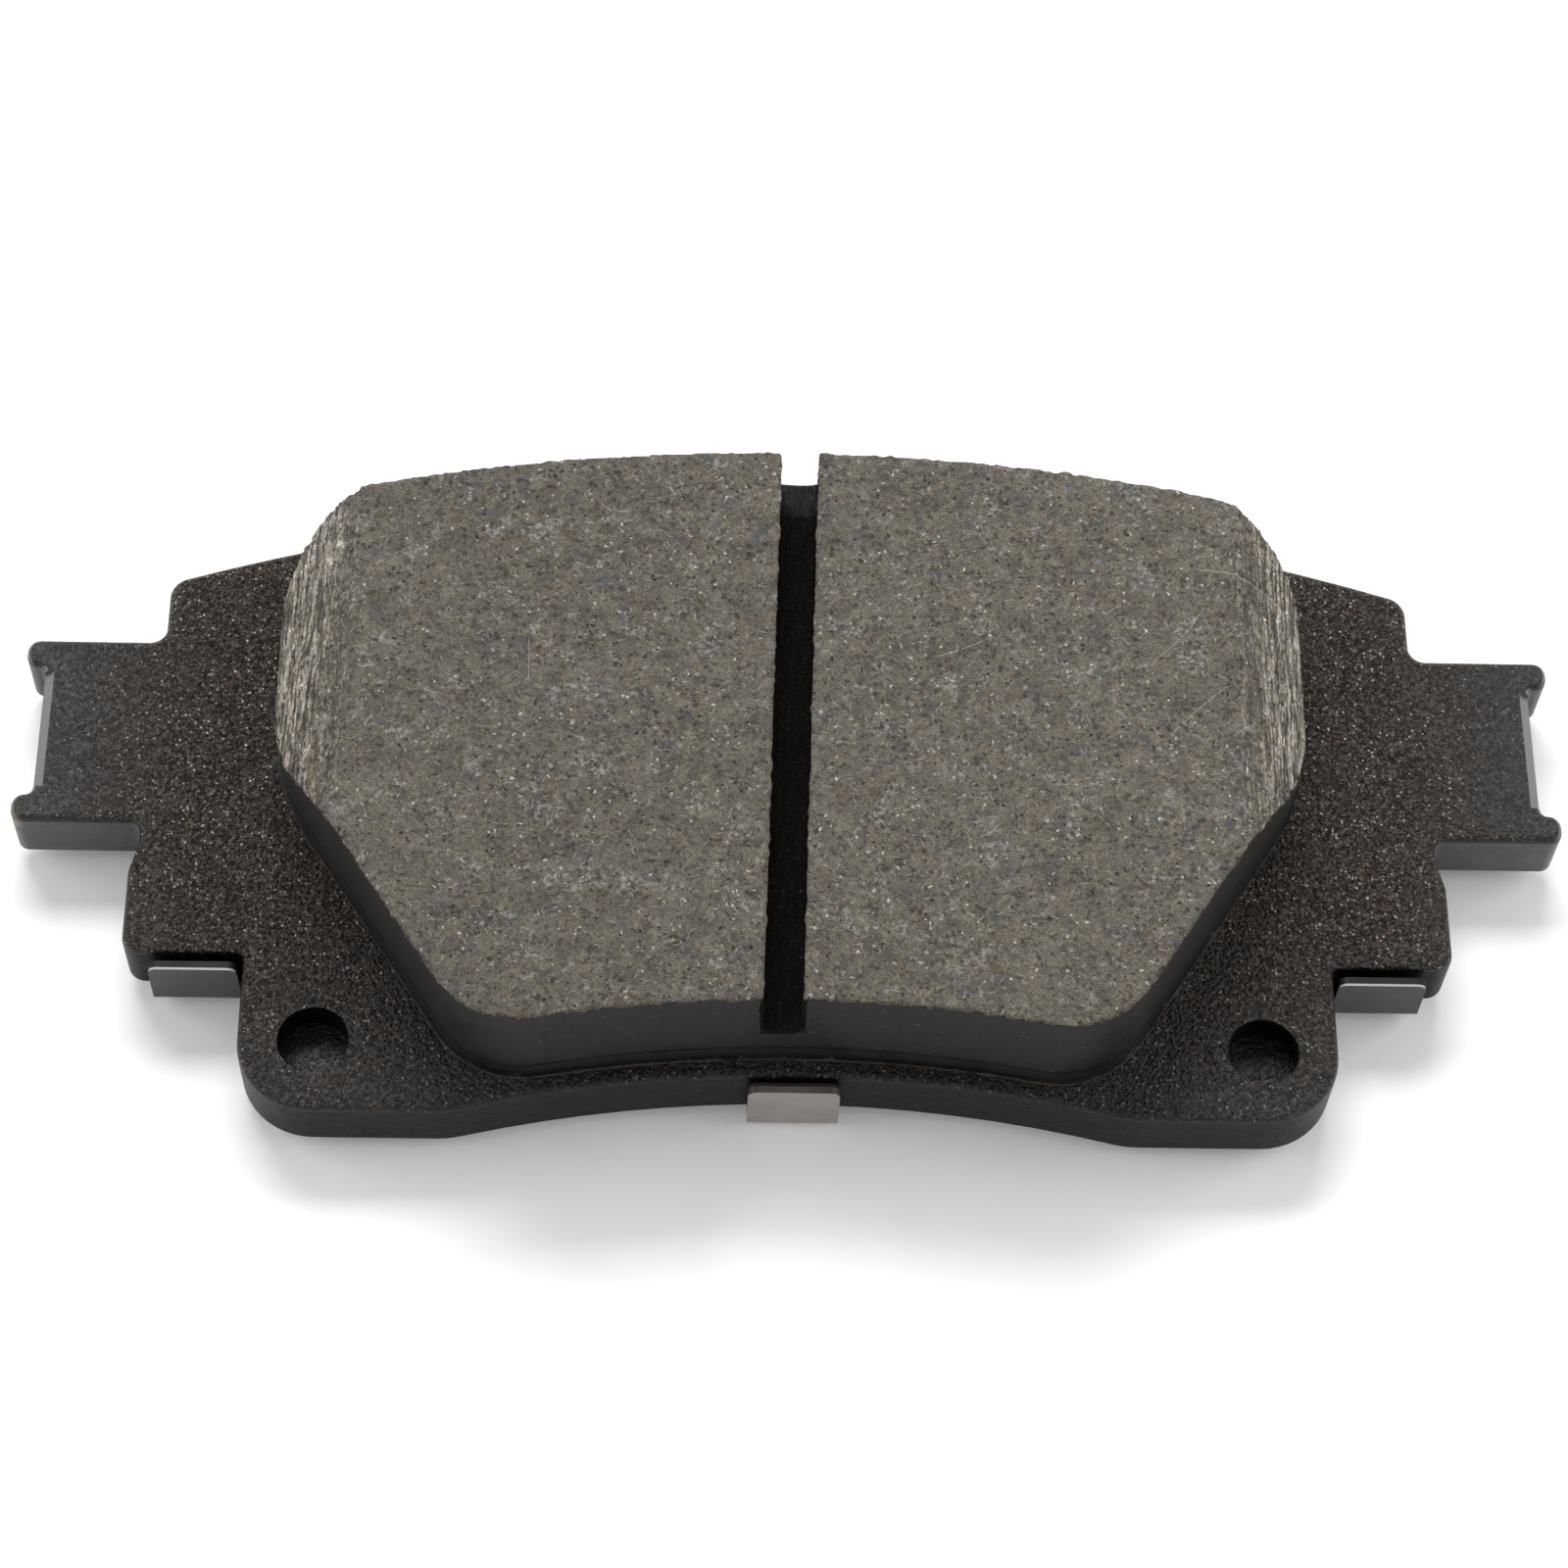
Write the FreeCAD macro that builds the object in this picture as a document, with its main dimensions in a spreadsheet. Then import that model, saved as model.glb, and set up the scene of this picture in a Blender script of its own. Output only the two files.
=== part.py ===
import FreeCAD, Part
import os
import Sketcher

os.makedirs("parts", exist_ok=True)
doc = FreeCAD.newDocument("brake_pad")

# ---------------------------------------------------------------- driving dimensions (millimetres)
# Sketch origin: middle of the two ears.  +Y points away from the disc axis, +Z towards the disc.
DIMENSIONS = [
    ("disc_axis_drop", 144.2, "ear centre line down to the disc axis"),
    ("plate_thickness", 5.5, "backing plate"),
    ("plate_outer_radius", 168.0, "top edge, about the disc axis"),
    ("plate_inner_radius", 112.5, "concave lower edge, about the disc axis"),
    ("shoulder_half_width", 53.95, "plate half width above the ears"),
    ("ear_span", 131.5, "over the hook tips"),
    ("ear_height", 17.7, "ear, top edge to bottom edge"),
    ("hook_reach", 1.65, "hook tips beyond the abutment face"),
    ("recess_height", 12.5, "abutment face between the hooks"),
    ("recess_bevel", 0.9, "bevel on the front edge of the abutment face"),
    ("root_half_width", 54.7, "relief under the ear"),
    ("root_drop", 2.1, "relief straight part"),
    ("root_flare", 2.4, "relief sloping part"),
    ("flank_half_width", 55.4, "plate half width below the ears"),
    ("ledge_drop", 21.15, "notch ledge below the ear centre line"),
    ("hole_half_spacing", 39.0, "blind holes from the middle"),
    ("hole_drop", 28.95, "blind holes below the ear centre line"),
    ("hole_diameter", 5.9, "blind hole"),
    ("hole_depth", 3.0, "blind hole"),
    ("lobe_radius", 6.25, "lobe corner about the blind hole"),
    ("nub_diameter", 5.7, "pressed nub behind each blind hole"),
    ("nub_height", 1.3, "pressed nub"),
    ("nub_edge", 0.3, "nub end chamfer"),
    ("hook_tip_round", 1.1, "hook tips"),
    ("recess_round", 0.6, "recess corners"),
    ("shoulder_round", 2.0, "shoulder corners"),
    ("ear_corner_round", 1.4, "inner corners above the ears"),
    ("notch_corner_round", 0.6, "inner corners of the notches"),
    ("root_round", 0.9, "inner corner under the ear"),
    ("relief_round", 3.0, "soft bends of the relief"),
    ("flank_round", 1.6, "flank to ledge corner"),
    ("concave_round", 9.0, "lobe bottom to concave edge"),
    ("die_roll", 0.6, "rolled front edge of the stamping"),
    ("lining_outer_radius", 166.3, "lining top edge, about the disc axis"),
    ("lining_inner_radius", 114.2, "lining lower edge, about the disc axis"),
    ("lining_half_width", 43.4, "lining sides"),
    ("lining_side_drop", 5.7, "where the slanted side starts"),
    ("lining_foot_half_width", 25.65, "where the slanted side meets the lower edge"),
    ("lining_thickness", 11.0, "underlayer and friction block together"),
    ("underlayer_thickness", 1.8, "underlayer"),
    ("lining_top_round", 10.0, "upper corners"),
    ("lining_side_round", 16.0, "side corners"),
    ("lining_foot_round", 8.0, "lower corners"),
    ("flash_width", 0.25, "moulding flash round the base"),
    ("flash_height", 0.4, "moulding flash round the base"),
    ("slot_width", 3.2, "wear slot"),
    ("slot_depth", 5.9, "wear slot"),
    ("chamfer_start", 37.2, "end chamfers begin this far from the middle"),
    ("chamfer_run", 7.0, "end chamfers, width of the cutter"),
    ("chamfer_drop", 6.2, "end chamfers, depth of the cutter"),
    ("cutter_rise", 1.0, "slot cutter stands this far above the friction face"),
    ("grind_angle", 1.5, "slot and end chamfers are ground this many degrees off the centre line"),
    ("coat_thickness", 0.2, "rubber coats on the inner shim"),
    ("core_thickness", 0.6, "inner shim steel"),
    ("liner_thickness", 0.3, "rubber liner of the outer shim"),
    ("steel_thickness", 0.6, "outer shim steel"),
    ("bend_radius", 0.3, "inside radius of every tab bend"),
    ("inner_shim_outer_radius", 166.0, "inner shim top edge"),
    ("inner_shim_half_width", 50.5, "inner shim above the ears"),
    ("inner_shim_waist_drop", 5.0, "where the inner shim starts to widen"),
    ("inner_shim_flank", 53.1, "inner shim half width at the notch tabs"),
    ("inner_shim_flank_drop", 10.5, "where the inner shim is full width"),
    ("inner_shim_lobe_width", 44.3, "inner shim half width beside the nubs"),
    ("inner_shim_lobe_radius", 5.3, "inner shim corner about the nub"),
    ("inner_shim_inner_radius", 113.5, "inner shim concave edge"),
    ("nub_hole_diameter", 6.5, "clearance hole in the inner shim"),
    ("coat_inset", 0.4, "front coat stops this far inside the steel"),
    ("shim_round", 2.0, "corners of both shims"),
    ("notch_tab_start", 45.75, "inner end of the notch tab from the middle"),
    ("notch_tab_width", 7.35, "notch tab"),
    ("notch_tab_gap", 0.6, "ledge to notch tab"),
    ("notch_tab_top", 5.1, "height above the plate's back"),
    ("notch_root", 0.9, "flat strip behind the notch tab bend"),
    ("tab_round", 0.8, "tab corners"),
    ("top_tab_start", 10.5, "inner shim top tabs from the middle"),
    ("top_tab_width", 7.0, "inner shim top tabs"),
    ("top_tab_gap", 0.25, "plate's top edge to the top tabs"),
    ("top_tab_top", 3.6, "height above the plate's back"),
    ("top_root", 3.0, "flat strip behind the top tab bends"),
    ("outer_shim_outer_radius", 163.5, "outer shim top edge"),
    ("outer_shim_half_width", 34.0, "outer shim sides"),
    ("outer_shim_side_drop", 17.0, "where the outer shim starts to narrow"),
    ("outer_shim_foot", 27.0, "outer shim lower corner from the middle"),
    ("outer_shim_inner_radius", 116.0, "outer shim concave edge"),
    ("centre_tab_width", 7.55, "outer shim centre tabs"),
    ("centre_tab_offset", 0.4, "outer shim centre tabs off the middle"),
    ("centre_tab_gap", 0.35, "concave edge to the liner of the centre tab"),
    ("centre_tab_top", 5.0, "height above the plate's back"),
    ("centre_root", 4.2, "flat neck behind the centre tab bend"),
    ("far_root", 5.7, "flat neck behind the outer shim's upper tab bend"),
    ("edge_limit", 1.0, "a tab's upper corner edges are shorter than this"),
]

sheet = doc.addObject("Spreadsheet::Sheet", "Dims")
for row, (alias, value, note) in enumerate(DIMENSIONS, start=1):
    sheet.set("A%d" % row, alias)
    sheet.set("B%d" % row, str(value))
    sheet.set("C%d" % row, note)
    sheet.setAlias("B%d" % row, alias)
doc.recompute()

ALIASES = sorted((alias for alias, _, _ in DIMENSIONS), key=len, reverse=True)


def bound(formula):
    """Write a formula of dimension names as an expression on the sheet."""
    words = []
    word = ""
    for letter in formula + " ":
        if letter.isalnum() or letter == "_":
            word += letter
            continue
        words.append("Dims." + word if word in ALIASES else word)
        words.append(letter)
        word = ""
    return "".join(words).strip()


def value_of(formula):
    return float(sheet.evalExpression(bound(formula)))


# ---------------------------------------------------------------- shared formulas
PLATE_TOP = "plate_outer_radius - disc_axis_drop"
PLATE_APEX = "plate_inner_radius - disc_axis_drop"
CORE_FACE = "-coat_thickness"
BACK_COAT_FACE = "-(coat_thickness + core_thickness)"
LINER_FACE = "-(2 * coat_thickness + core_thickness)"
STEEL_FACE = "-(2 * coat_thickness + core_thickness + liner_thickness)"
STACK = "(2 * coat_thickness + core_thickness + liner_thickness + steel_thickness)"
TOP_REACH = "(%s + top_tab_gap + liner_thickness + steel_thickness)" % PLATE_TOP
LOBE_REACH = "(hole_drop + lobe_radius)"


def new_body(name):
    """A body whose placement puts the row's origin under the middle of the whole pad."""
    body = doc.addObject("PartDesign::Body", name)
    body.Label = name
    body.setExpression("Placement.Base.y", bound("(%s - %s) / 2" % (LOBE_REACH, TOP_REACH)))
    body.setExpression("Placement.Base.z", bound(STACK))
    return body


def plane_of(body, role):
    for feature in body.Origin.OriginFeatures:
        if feature.Role == role:
            return feature
    raise ValueError("no plane " + role)


def new_sketch(body, name, role, height=None):
    sketch = body.newObject("Sketcher::SketchObject", name)
    sketch.AttachmentSupport = [(plane_of(body, role), "")]
    sketch.MapMode = "FlatFace"
    if height is not None:
        sketch.setExpression("AttachmentOffset.Base.z", bound(height))
    return sketch


def constrain(sketch, kind, items, formula):
    """Add one dimension to a sketch and bind it to the sheet."""
    index = sketch.addConstraint(Sketcher.Constraint(kind, *items, value_of(formula)))
    sketch.setExpression("Constraints[%d]" % index, bound(formula))


def fix_point(sketch, item, point, which):
    """Hold a sketch point at formulas (x, y); which says the coordinates to hold."""
    for axis, kind, line in (("x", "DistanceX", -2), ("y", "DistanceY", -1)):
        if axis not in which:
            continue
        formula = point["xy".index(axis)]
        if formula == "0":
            sketch.addConstraint(Sketcher.Constraint("PointOnObject", item[0], item[1], line))
        else:
            constrain(sketch, kind, (-1, 1) + item, formula)


def draw_outline(sketch, corners, arcs=None):
    """Closed outline. corners: (x, y, which); arcs: {side: (cx, cy, which, radius, anticlockwise)}."""
    arcs = arcs or {}
    spots = [FreeCAD.Vector(value_of(x), value_of(y), 0) for x, y, _ in corners]
    sides = []
    for side, start in enumerate(spots):
        end = spots[(side + 1) % len(spots)]
        if side not in arcs:
            sides.append((sketch.addGeometry(Part.LineSegment(start, end)), 1, 2))
            continue
        cx, cy, _, _, anticlockwise = arcs[side]
        centre = FreeCAD.Vector(value_of(cx), value_of(cy), 0)
        first, last = (start, end) if anticlockwise else (end, start)
        angles = [FreeCAD.Vector(1, 0, 0).getAngle(spot - centre) for spot in (first, last)]
        angles = [a if spot.y >= centre.y else -a for a, spot in zip(angles, (first, last))]
        circle = Part.Circle(centre, FreeCAD.Vector(0, 0, 1), (start - centre).Length)
        geometry = sketch.addGeometry(Part.ArcOfCircle(circle, angles[0], angles[1]))
        sides.append((geometry, 1, 2) if anticlockwise else (geometry, 2, 1))
    for side, (geometry, _, end) in enumerate(sides):
        following = sides[(side + 1) % len(sides)]
        sketch.addConstraint(Sketcher.Constraint("Coincident", geometry, end, following[0], following[1]))
    for side, (x, y, which) in enumerate(corners):
        fix_point(sketch, (sides[side][0], sides[side][1]), (x, y), which)
    for side, (cx, cy, which, radius, _) in arcs.items():
        fix_point(sketch, (sides[side][0], 3), (cx, cy), which)
        if radius:
            constrain(sketch, "Radius", (sides[side][0],), radius)


def draw_circle(sketch, x, y, radius):
    circle = Part.Circle(FreeCAD.Vector(value_of(x), value_of(y), 0), FreeCAD.Vector(0, 0, 1), value_of(radius))
    geometry = sketch.addGeometry(circle)
    fix_point(sketch, (geometry, 3), (x, y), "xy")
    constrain(sketch, "Radius", (geometry,), radius)


def pad(body, name, sketch, length, reverse=False):
    feature = body.newObject("PartDesign::Pad", name)
    feature.Profile = sketch
    feature.Reversed = reverse
    feature.setExpression("Length", bound(length))
    doc.recompute()
    return feature


def mirror(body, name, features):
    feature = body.newObject("PartDesign::Mirrored", name)
    feature.Originals = features
    feature.MirrorPlane = (plane_of(body, "YZ_Plane"), [""])
    body.Tip = feature
    doc.recompute()
    return feature


def local_shape(feature):
    shape = feature.Shape.copy()
    shape.Placement = FreeCAD.Placement()
    return shape


def edges_where(feature, test):
    """Names of the feature's edges whose curve passes the test (in sketch coordinates)."""
    return ["Edge%d" % n for n, edge in enumerate(feature.Shape.Edges, start=1) if test(edge)]


def dress(body, kind, name, base, test, size):
    """Fillet or chamfer the chosen edges of the body's latest feature."""
    names = edges_where(base, test)
    if not names:
        raise ValueError("no edges for " + name)
    feature = body.newObject("PartDesign::" + kind, name)
    feature.Base = (base, names)
    feature.setExpression("Radius" if kind == "Fillet" else "Size", bound(size))
    body.Tip = feature
    doc.recompute()
    return feature


def upright_at(corners):
    """Test for edges that run along Z through one of the corners, on either side of the middle."""
    spots = [(value_of(x), value_of(y)) for x, y in corners]

    def test(edge):
        if len(edge.Vertexes) != 2:
            return False
        low, high = edge.Vertexes[0].Point, edge.Vertexes[1].Point
        if abs(low.x - high.x) + abs(low.y - high.y) > 0.001:
            return False
        return any(abs(abs(low.x) - x) + abs(low.y - y) < 0.01 for x, y in spots)
    return test


def at_height(height):
    """Test for edges that lie in one level plane."""
    level = value_of(height)
    return lambda edge: all(abs(v.Point.z - level) < 0.001 for v in edge.Vertexes) and \
        abs(edge.BoundBox.ZLength) < 0.001


def on_circle(radius, x):
    return "sqrt((%s)^2 - (%s)^2) - disc_axis_drop" % (radius, x)


def disc_arc(radius, anticlockwise):
    return ("0", "-disc_axis_drop", "xy", radius, anticlockwise)


# ---------------------------------------------------------------- backing plate
EAR_TOP = "ear_height / 2"
EAR_BOTTOM = "-ear_height / 2"
TIP = "ear_span / 2"
ABUTMENT = "ear_span / 2 - hook_reach"
LOBE_SIDE = "hole_half_spacing + lobe_radius"
LOBE_BOTTOM = "-(hole_drop + lobe_radius)"
CONCAVE_END = "sqrt(plate_inner_radius^2 - (disc_axis_drop - hole_drop - lobe_radius)^2)"

plate = new_body("backing_plate")
plate_sketch = new_sketch(plate, "plate_outline", "XY_Plane")
plate_corners = [
    ("0", PLATE_TOP, "x"),
    ("shoulder_half_width", on_circle("plate_outer_radius", "shoulder_half_width"), "x"),
    ("shoulder_half_width", EAR_TOP, "xy"),
    (TIP, EAR_TOP, "xy"),
    (TIP, "recess_height / 2", "xy"),
    (ABUTMENT, "recess_height / 2", "xy"),
    (ABUTMENT, "-recess_height / 2", "xy"),
    (TIP, "-recess_height / 2", "xy"),
    (TIP, EAR_BOTTOM, "xy"),
    ("root_half_width", EAR_BOTTOM, "xy"),
    ("root_half_width", "-(ear_height / 2 + root_drop)", "xy"),
    ("flank_half_width", "-(ear_height / 2 + root_drop + root_flare)", "xy"),
    ("flank_half_width", "-ledge_drop", "xy"),
    (LOBE_SIDE, "-ledge_drop", "xy"),
    (LOBE_SIDE, "-hole_drop", "y"),
    ("hole_half_spacing", LOBE_BOTTOM, "x"),
    (CONCAVE_END, LOBE_BOTTOM, "y"),
    ("0", PLATE_APEX, "x"),
]
draw_outline(plate_sketch, plate_corners, {
    0: disc_arc("plate_outer_radius", False),
    14: ("hole_half_spacing", "-hole_drop", "xy", "lobe_radius", False),
    16: disc_arc("plate_inner_radius", True),
})
half = pad(plate, "plate_half", plate_sketch, "plate_thickness")
step = mirror(plate, "plate_both_halves", [half])

ROUNDED_CORNERS = [
    ("hook_tips", (3, 4, 7, 8), "hook_tip_round"),
    ("recess_corners", (5, 6), "recess_round"),
    ("shoulders", (1,), "shoulder_round"),
    ("ear_corners", (2,), "ear_corner_round"),
    ("notch_corners", (13,), "notch_corner_round"),
    ("ear_roots", (9,), "root_round"),
    ("reliefs", (10, 11), "relief_round"),
    ("flanks", (12,), "flank_round"),
    ("concave_ends", (16,), "concave_round"),
]
for name, numbers, size in ROUNDED_CORNERS:
    corners = [plate_corners[number][:2] for number in numbers]
    step = dress(plate, "Fillet", name, step, upright_at(corners), size)
step = dress(plate, "Fillet", "die_rolled_edge", step, at_height("plate_thickness"), "die_roll")

bevel_sketch = new_sketch(plate, "recess_bevel_profile", "XZ_Plane")
for sign in ("", "-"):
    draw_outline(bevel_sketch, [
        (sign + "(%s - recess_bevel)" % ABUTMENT, "plate_thickness", "xy"),
        (sign + "(%s + recess_bevel)" % ABUTMENT, "plate_thickness", "xy"),
        (sign + "(%s + recess_bevel)" % ABUTMENT, "plate_thickness - 2 * recess_bevel", "xy"),
    ])
bevel = plate.newObject("PartDesign::Pocket", "recess_bevels")
bevel.Profile = bevel_sketch
bevel.Midplane = True
bevel.setExpression("Length", bound("recess_height - 2 * recess_round"))
doc.recompute()

hole_sketch = new_sketch(plate, "blind_hole_centres", "XY_Plane", "plate_thickness")
nub_sketch = new_sketch(plate, "nub_circles", "XY_Plane")
for sign in ("", "-"):
    draw_circle(hole_sketch, sign + "hole_half_spacing", "-hole_drop", "hole_diameter / 2")
    draw_circle(nub_sketch, sign + "hole_half_spacing", "-hole_drop", "nub_diameter / 2")
doc.recompute()
holes = plate.newObject("PartDesign::Hole", "blind_holes")
holes.Profile = hole_sketch
holes.ThreadType = 0
holes.DepthType = 0
holes.DrillPoint = 0
holes.setExpression("Diameter", bound("hole_diameter"))
holes.setExpression("Depth", bound("hole_depth"))
doc.recompute()
nubs = pad(plate, "nubs", nub_sketch, "nub_height", reverse=True)
dress(plate, "Chamfer", "nub_ends", nubs, at_height("-nub_height"), "nub_edge")


# ---------------------------------------------------------------- lining: underlayer and friction block
def lining_corners(grow):
    """Half outline of the lining, grown outwards by a formula."""
    outer = "(lining_outer_radius + %s)" % grow
    inner = "(lining_inner_radius - %s)" % grow
    side = "(lining_half_width + %s)" % grow
    foot = "(lining_foot_half_width + %s / 2)" % grow
    corners = [
        ("0", "%s - disc_axis_drop" % outer, "x"),
        (side, on_circle(outer, side), "x"),
        (side, "-lining_side_drop", "xy"),
        (foot, on_circle(inner, foot), "x"),
        ("0", "%s - disc_axis_drop" % inner, "x"),
    ]
    return corners, {0: disc_arc(outer, False), 3: disc_arc(inner, True)}


def lining_block(body, name, height, thickness, grow="0"):
    """Extrude the lining outline, both halves, and round its corners."""
    sketch = new_sketch(body, name + "_outline", "XY_Plane", height)
    corners, arcs = lining_corners(grow)
    draw_outline(sketch, corners, arcs)
    step = mirror(body, name + "_both_halves", [pad(body, name + "_half", sketch, thickness)])
    for number, size in ((1, "lining_top_round"), (2, "lining_side_round"), (3, "lining_foot_round")):
        test = upright_at([corners[number][:2]])
        step = dress(body, "Fillet", "%s_corner_%d" % (name, number), step, test, "%s + %s" % (size, grow))
    return step


underlayer = new_body("underlayer")
lining_block(underlayer, "layer", "plate_thickness", "underlayer_thickness")
lining_block(underlayer, "flash", "plate_thickness", "flash_height", "flash_width")

friction = new_body("friction_block")
lining_block(friction, "block", "plate_thickness + underlayer_thickness",
             "lining_thickness - underlayer_thickness")
FACE = "(plate_thickness + lining_thickness)"
ground_sketch = new_sketch(friction, "ground_profile", "XZ_Plane")
ground_sketch.AttachmentOffset = FreeCAD.Placement(
    FreeCAD.Vector(), FreeCAD.Rotation(FreeCAD.Vector(0, 1, 0), -value_of("grind_angle")))
ground_sketch.setExpression("AttachmentOffset.Rotation.Angle", bound("-grind_angle"))
draw_outline(ground_sketch, [
    ("-slot_width / 2", FACE + " + cutter_rise", "xy"),
    ("-slot_width / 2", FACE + " - slot_depth", "xy"),
    ("slot_width / 2", FACE + " - slot_depth", "xy"),
    ("slot_width / 2", FACE + " + cutter_rise", "xy"),
])
for sign in ("", "-"):
    draw_outline(ground_sketch, [
        (sign + "chamfer_start", FACE, "xy"),
        (sign + "(chamfer_start + chamfer_run)", FACE + " - chamfer_drop", "xy"),
        (sign + "(chamfer_start + chamfer_run)", FACE, "xy"),
    ])
ground = friction.newObject("PartDesign::Pocket", "ground_slot_and_chamfers")
ground.Profile = ground_sketch
ground.Type = "ThroughAll"
ground.Midplane = True
doc.recompute()


# ---------------------------------------------------------------- sheet metal tabs
def bent_strip(body, name, side, face_y, face_z, bend, thickness, root, tab_top, start, width):
    """Strip that lies flat against face_z and turns up beyond face_y; side is 1 at +Y, -1 at -Y."""
    out = "" if side > 0 else "-"
    turn_y = "(%s - %s(%s))" % (face_y, out, bend)
    turn_z = "(%s + %s)" % (face_z, bend)
    back_y = "(%s + %s(%s))" % (face_y, out, thickness)
    back_z = "(%s - %s)" % (face_z, thickness)
    root_y = "(%s - %s(%s))" % (face_y, out, root)
    sketch = new_sketch(body, name + "_profile", "YZ_Plane", start)
    draw_outline(sketch, [
        (root_y, face_z, "xy"),
        (turn_y, face_z, "xy"),
        (face_y, turn_z, "xy"),
        (face_y, tab_top, "xy"),
        (back_y, tab_top, "xy"),
        (back_y, turn_z, "xy"),
        (turn_y, back_z, "xy"),
        (root_y, back_z, "xy"),
    ], {
        1: (turn_y, turn_z, "x", None, side > 0),
        5: (turn_y, turn_z, "x", None, side < 0),
    })
    return pad(body, name, sketch, width)


def round_tabs(body, name, base, tab_top):
    """Round the upper corners of every tab: short edges along Y at the tab's top."""
    level = value_of(tab_top)
    longest = value_of("edge_limit")

    def test(edge):
        flat = abs(edge.BoundBox.ZLength) < 0.001 and abs(edge.BoundBox.XLength) < 0.001
        return flat and edge.Length < longest and abs(edge.BoundBox.ZMax - level) < 0.001
    return dress(body, "Fillet", name, base, test, "tab_round")


NOTCH_FACE = "-(ledge_drop + notch_tab_gap)"
TOP_FACE = "(%s + top_tab_gap)" % PLATE_TOP


# ---------------------------------------------------------------- inner shim and its two rubber coats
def inner_shim_sheet(body, name, face_z, thickness, inset):
    """Flat part of the inner shim, both halves, with the nub holes."""
    outer = "(inner_shim_outer_radius - %s)" % inset
    inner = "(inner_shim_inner_radius + %s)" % inset
    side = "(inner_shim_half_width - %s)" % inset
    flank = "(inner_shim_flank - %s)" % inset
    lobe = "(inner_shim_lobe_radius - %s)" % inset
    ledge = "-(ledge_drop + notch_tab_gap - notch_root - %s)" % inset
    bottom = "-(hole_drop + %s)" % lobe
    end = "sqrt(%s^2 - (disc_axis_drop - hole_drop - %s)^2)" % (inner, lobe)
    sketch = new_sketch(body, name + "_outline", "XY_Plane", face_z)
    corners = [
        ("0", outer + " - disc_axis_drop", "x"),
        (side, on_circle(outer, side), "x"),
        (side, "-inner_shim_waist_drop", "xy"),
        (flank, "-inner_shim_flank_drop", "xy"),
        (flank, ledge, "xy"),
        ("hole_half_spacing + " + lobe, ledge, "xy"),
        ("hole_half_spacing + " + lobe, "-hole_drop", "y"),
        ("hole_half_spacing", bottom, "x"),
        (end, bottom, "y"),
        ("0", inner + " - disc_axis_drop", "x"),
    ]
    draw_outline(sketch, corners, {
        0: disc_arc(outer, False),
        6: ("hole_half_spacing", "-hole_drop", "xy", lobe, False),
        8: disc_arc(inner, True),
    })
    draw_circle(sketch, "hole_half_spacing", "-hole_drop", "nub_hole_diameter / 2")
    flat = pad(body, name + "_half", sketch, thickness, reverse=True)
    step = mirror(body, name + "_both_halves", [flat])
    shim_corners = [corners[number][:2] for number in (1, 2, 3)]
    return dress(body, "Fillet", name + "_corners", step, upright_at(shim_corners), "shim_round")


def inner_shim_tabs(body, name, gap, face_z, bend, thickness):
    """Two notch tabs and two top tabs on a layer that lies gap outside the steel's inner faces."""
    root = "notch_root + " + gap
    notch = bent_strip(body, name + "_notch_tab", -1, "(%s - %s)" % (NOTCH_FACE, gap), face_z, bend,
                       thickness, root, "notch_tab_top", "notch_tab_start", "notch_tab_width")
    top = bent_strip(body, name + "_top_tab", 1, "(%s + %s)" % (TOP_FACE, gap), face_z, bend,
                     thickness, "top_root + " + gap, "top_tab_top", "top_tab_start", "top_tab_width")
    step = mirror(body, name + "_tab_pairs", [notch, top])
    step = round_tabs(body, name + "_notch_tab_corners", step, "notch_tab_top")
    return round_tabs(body, name + "_top_tab_corners", step, "top_tab_top")


core = new_body("inner_shim_core")
inner_shim_sheet(core, "core", CORE_FACE, "core_thickness", "0")
inner_shim_tabs(core, "core", "0", CORE_FACE, "bend_radius", "core_thickness")

front_coat = new_body("inner_shim_front_coat")
inner_shim_sheet(front_coat, "front_coat", "0", "coat_thickness", "coat_inset")

back_coat = new_body("inner_shim_back_coat")
inner_shim_sheet(back_coat, "back_coat", BACK_COAT_FACE, "coat_thickness", "0")
inner_shim_tabs(back_coat, "back_coat", "core_thickness", BACK_COAT_FACE,
                "bend_radius + core_thickness", "coat_thickness")


# ---------------------------------------------------------------- outer shim and its rubber liner
def outer_shim_sheet(body, name, face_z, thickness):
    """Flat part of the outer shim, both halves."""
    sketch = new_sketch(body, name + "_outline", "XY_Plane", face_z)
    corners = [
        ("0", "outer_shim_outer_radius - disc_axis_drop", "x"),
        ("outer_shim_half_width", on_circle("outer_shim_outer_radius", "outer_shim_half_width"), "x"),
        ("outer_shim_half_width", "-outer_shim_side_drop", "xy"),
        ("outer_shim_foot", on_circle("outer_shim_inner_radius", "outer_shim_foot"), "x"),
        ("0", "outer_shim_inner_radius - disc_axis_drop", "x"),
    ]
    draw_outline(sketch, corners, {
        0: disc_arc("outer_shim_outer_radius", False),
        3: disc_arc("outer_shim_inner_radius", True),
    })
    step = mirror(body, name + "_both_halves", [pad(body, name + "_half", sketch, thickness, reverse=True)])
    shim_corners = [corners[number][:2] for number in (1, 2, 3)]
    return dress(body, "Fillet", name + "_corners", step, upright_at(shim_corners), "shim_round")


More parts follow.
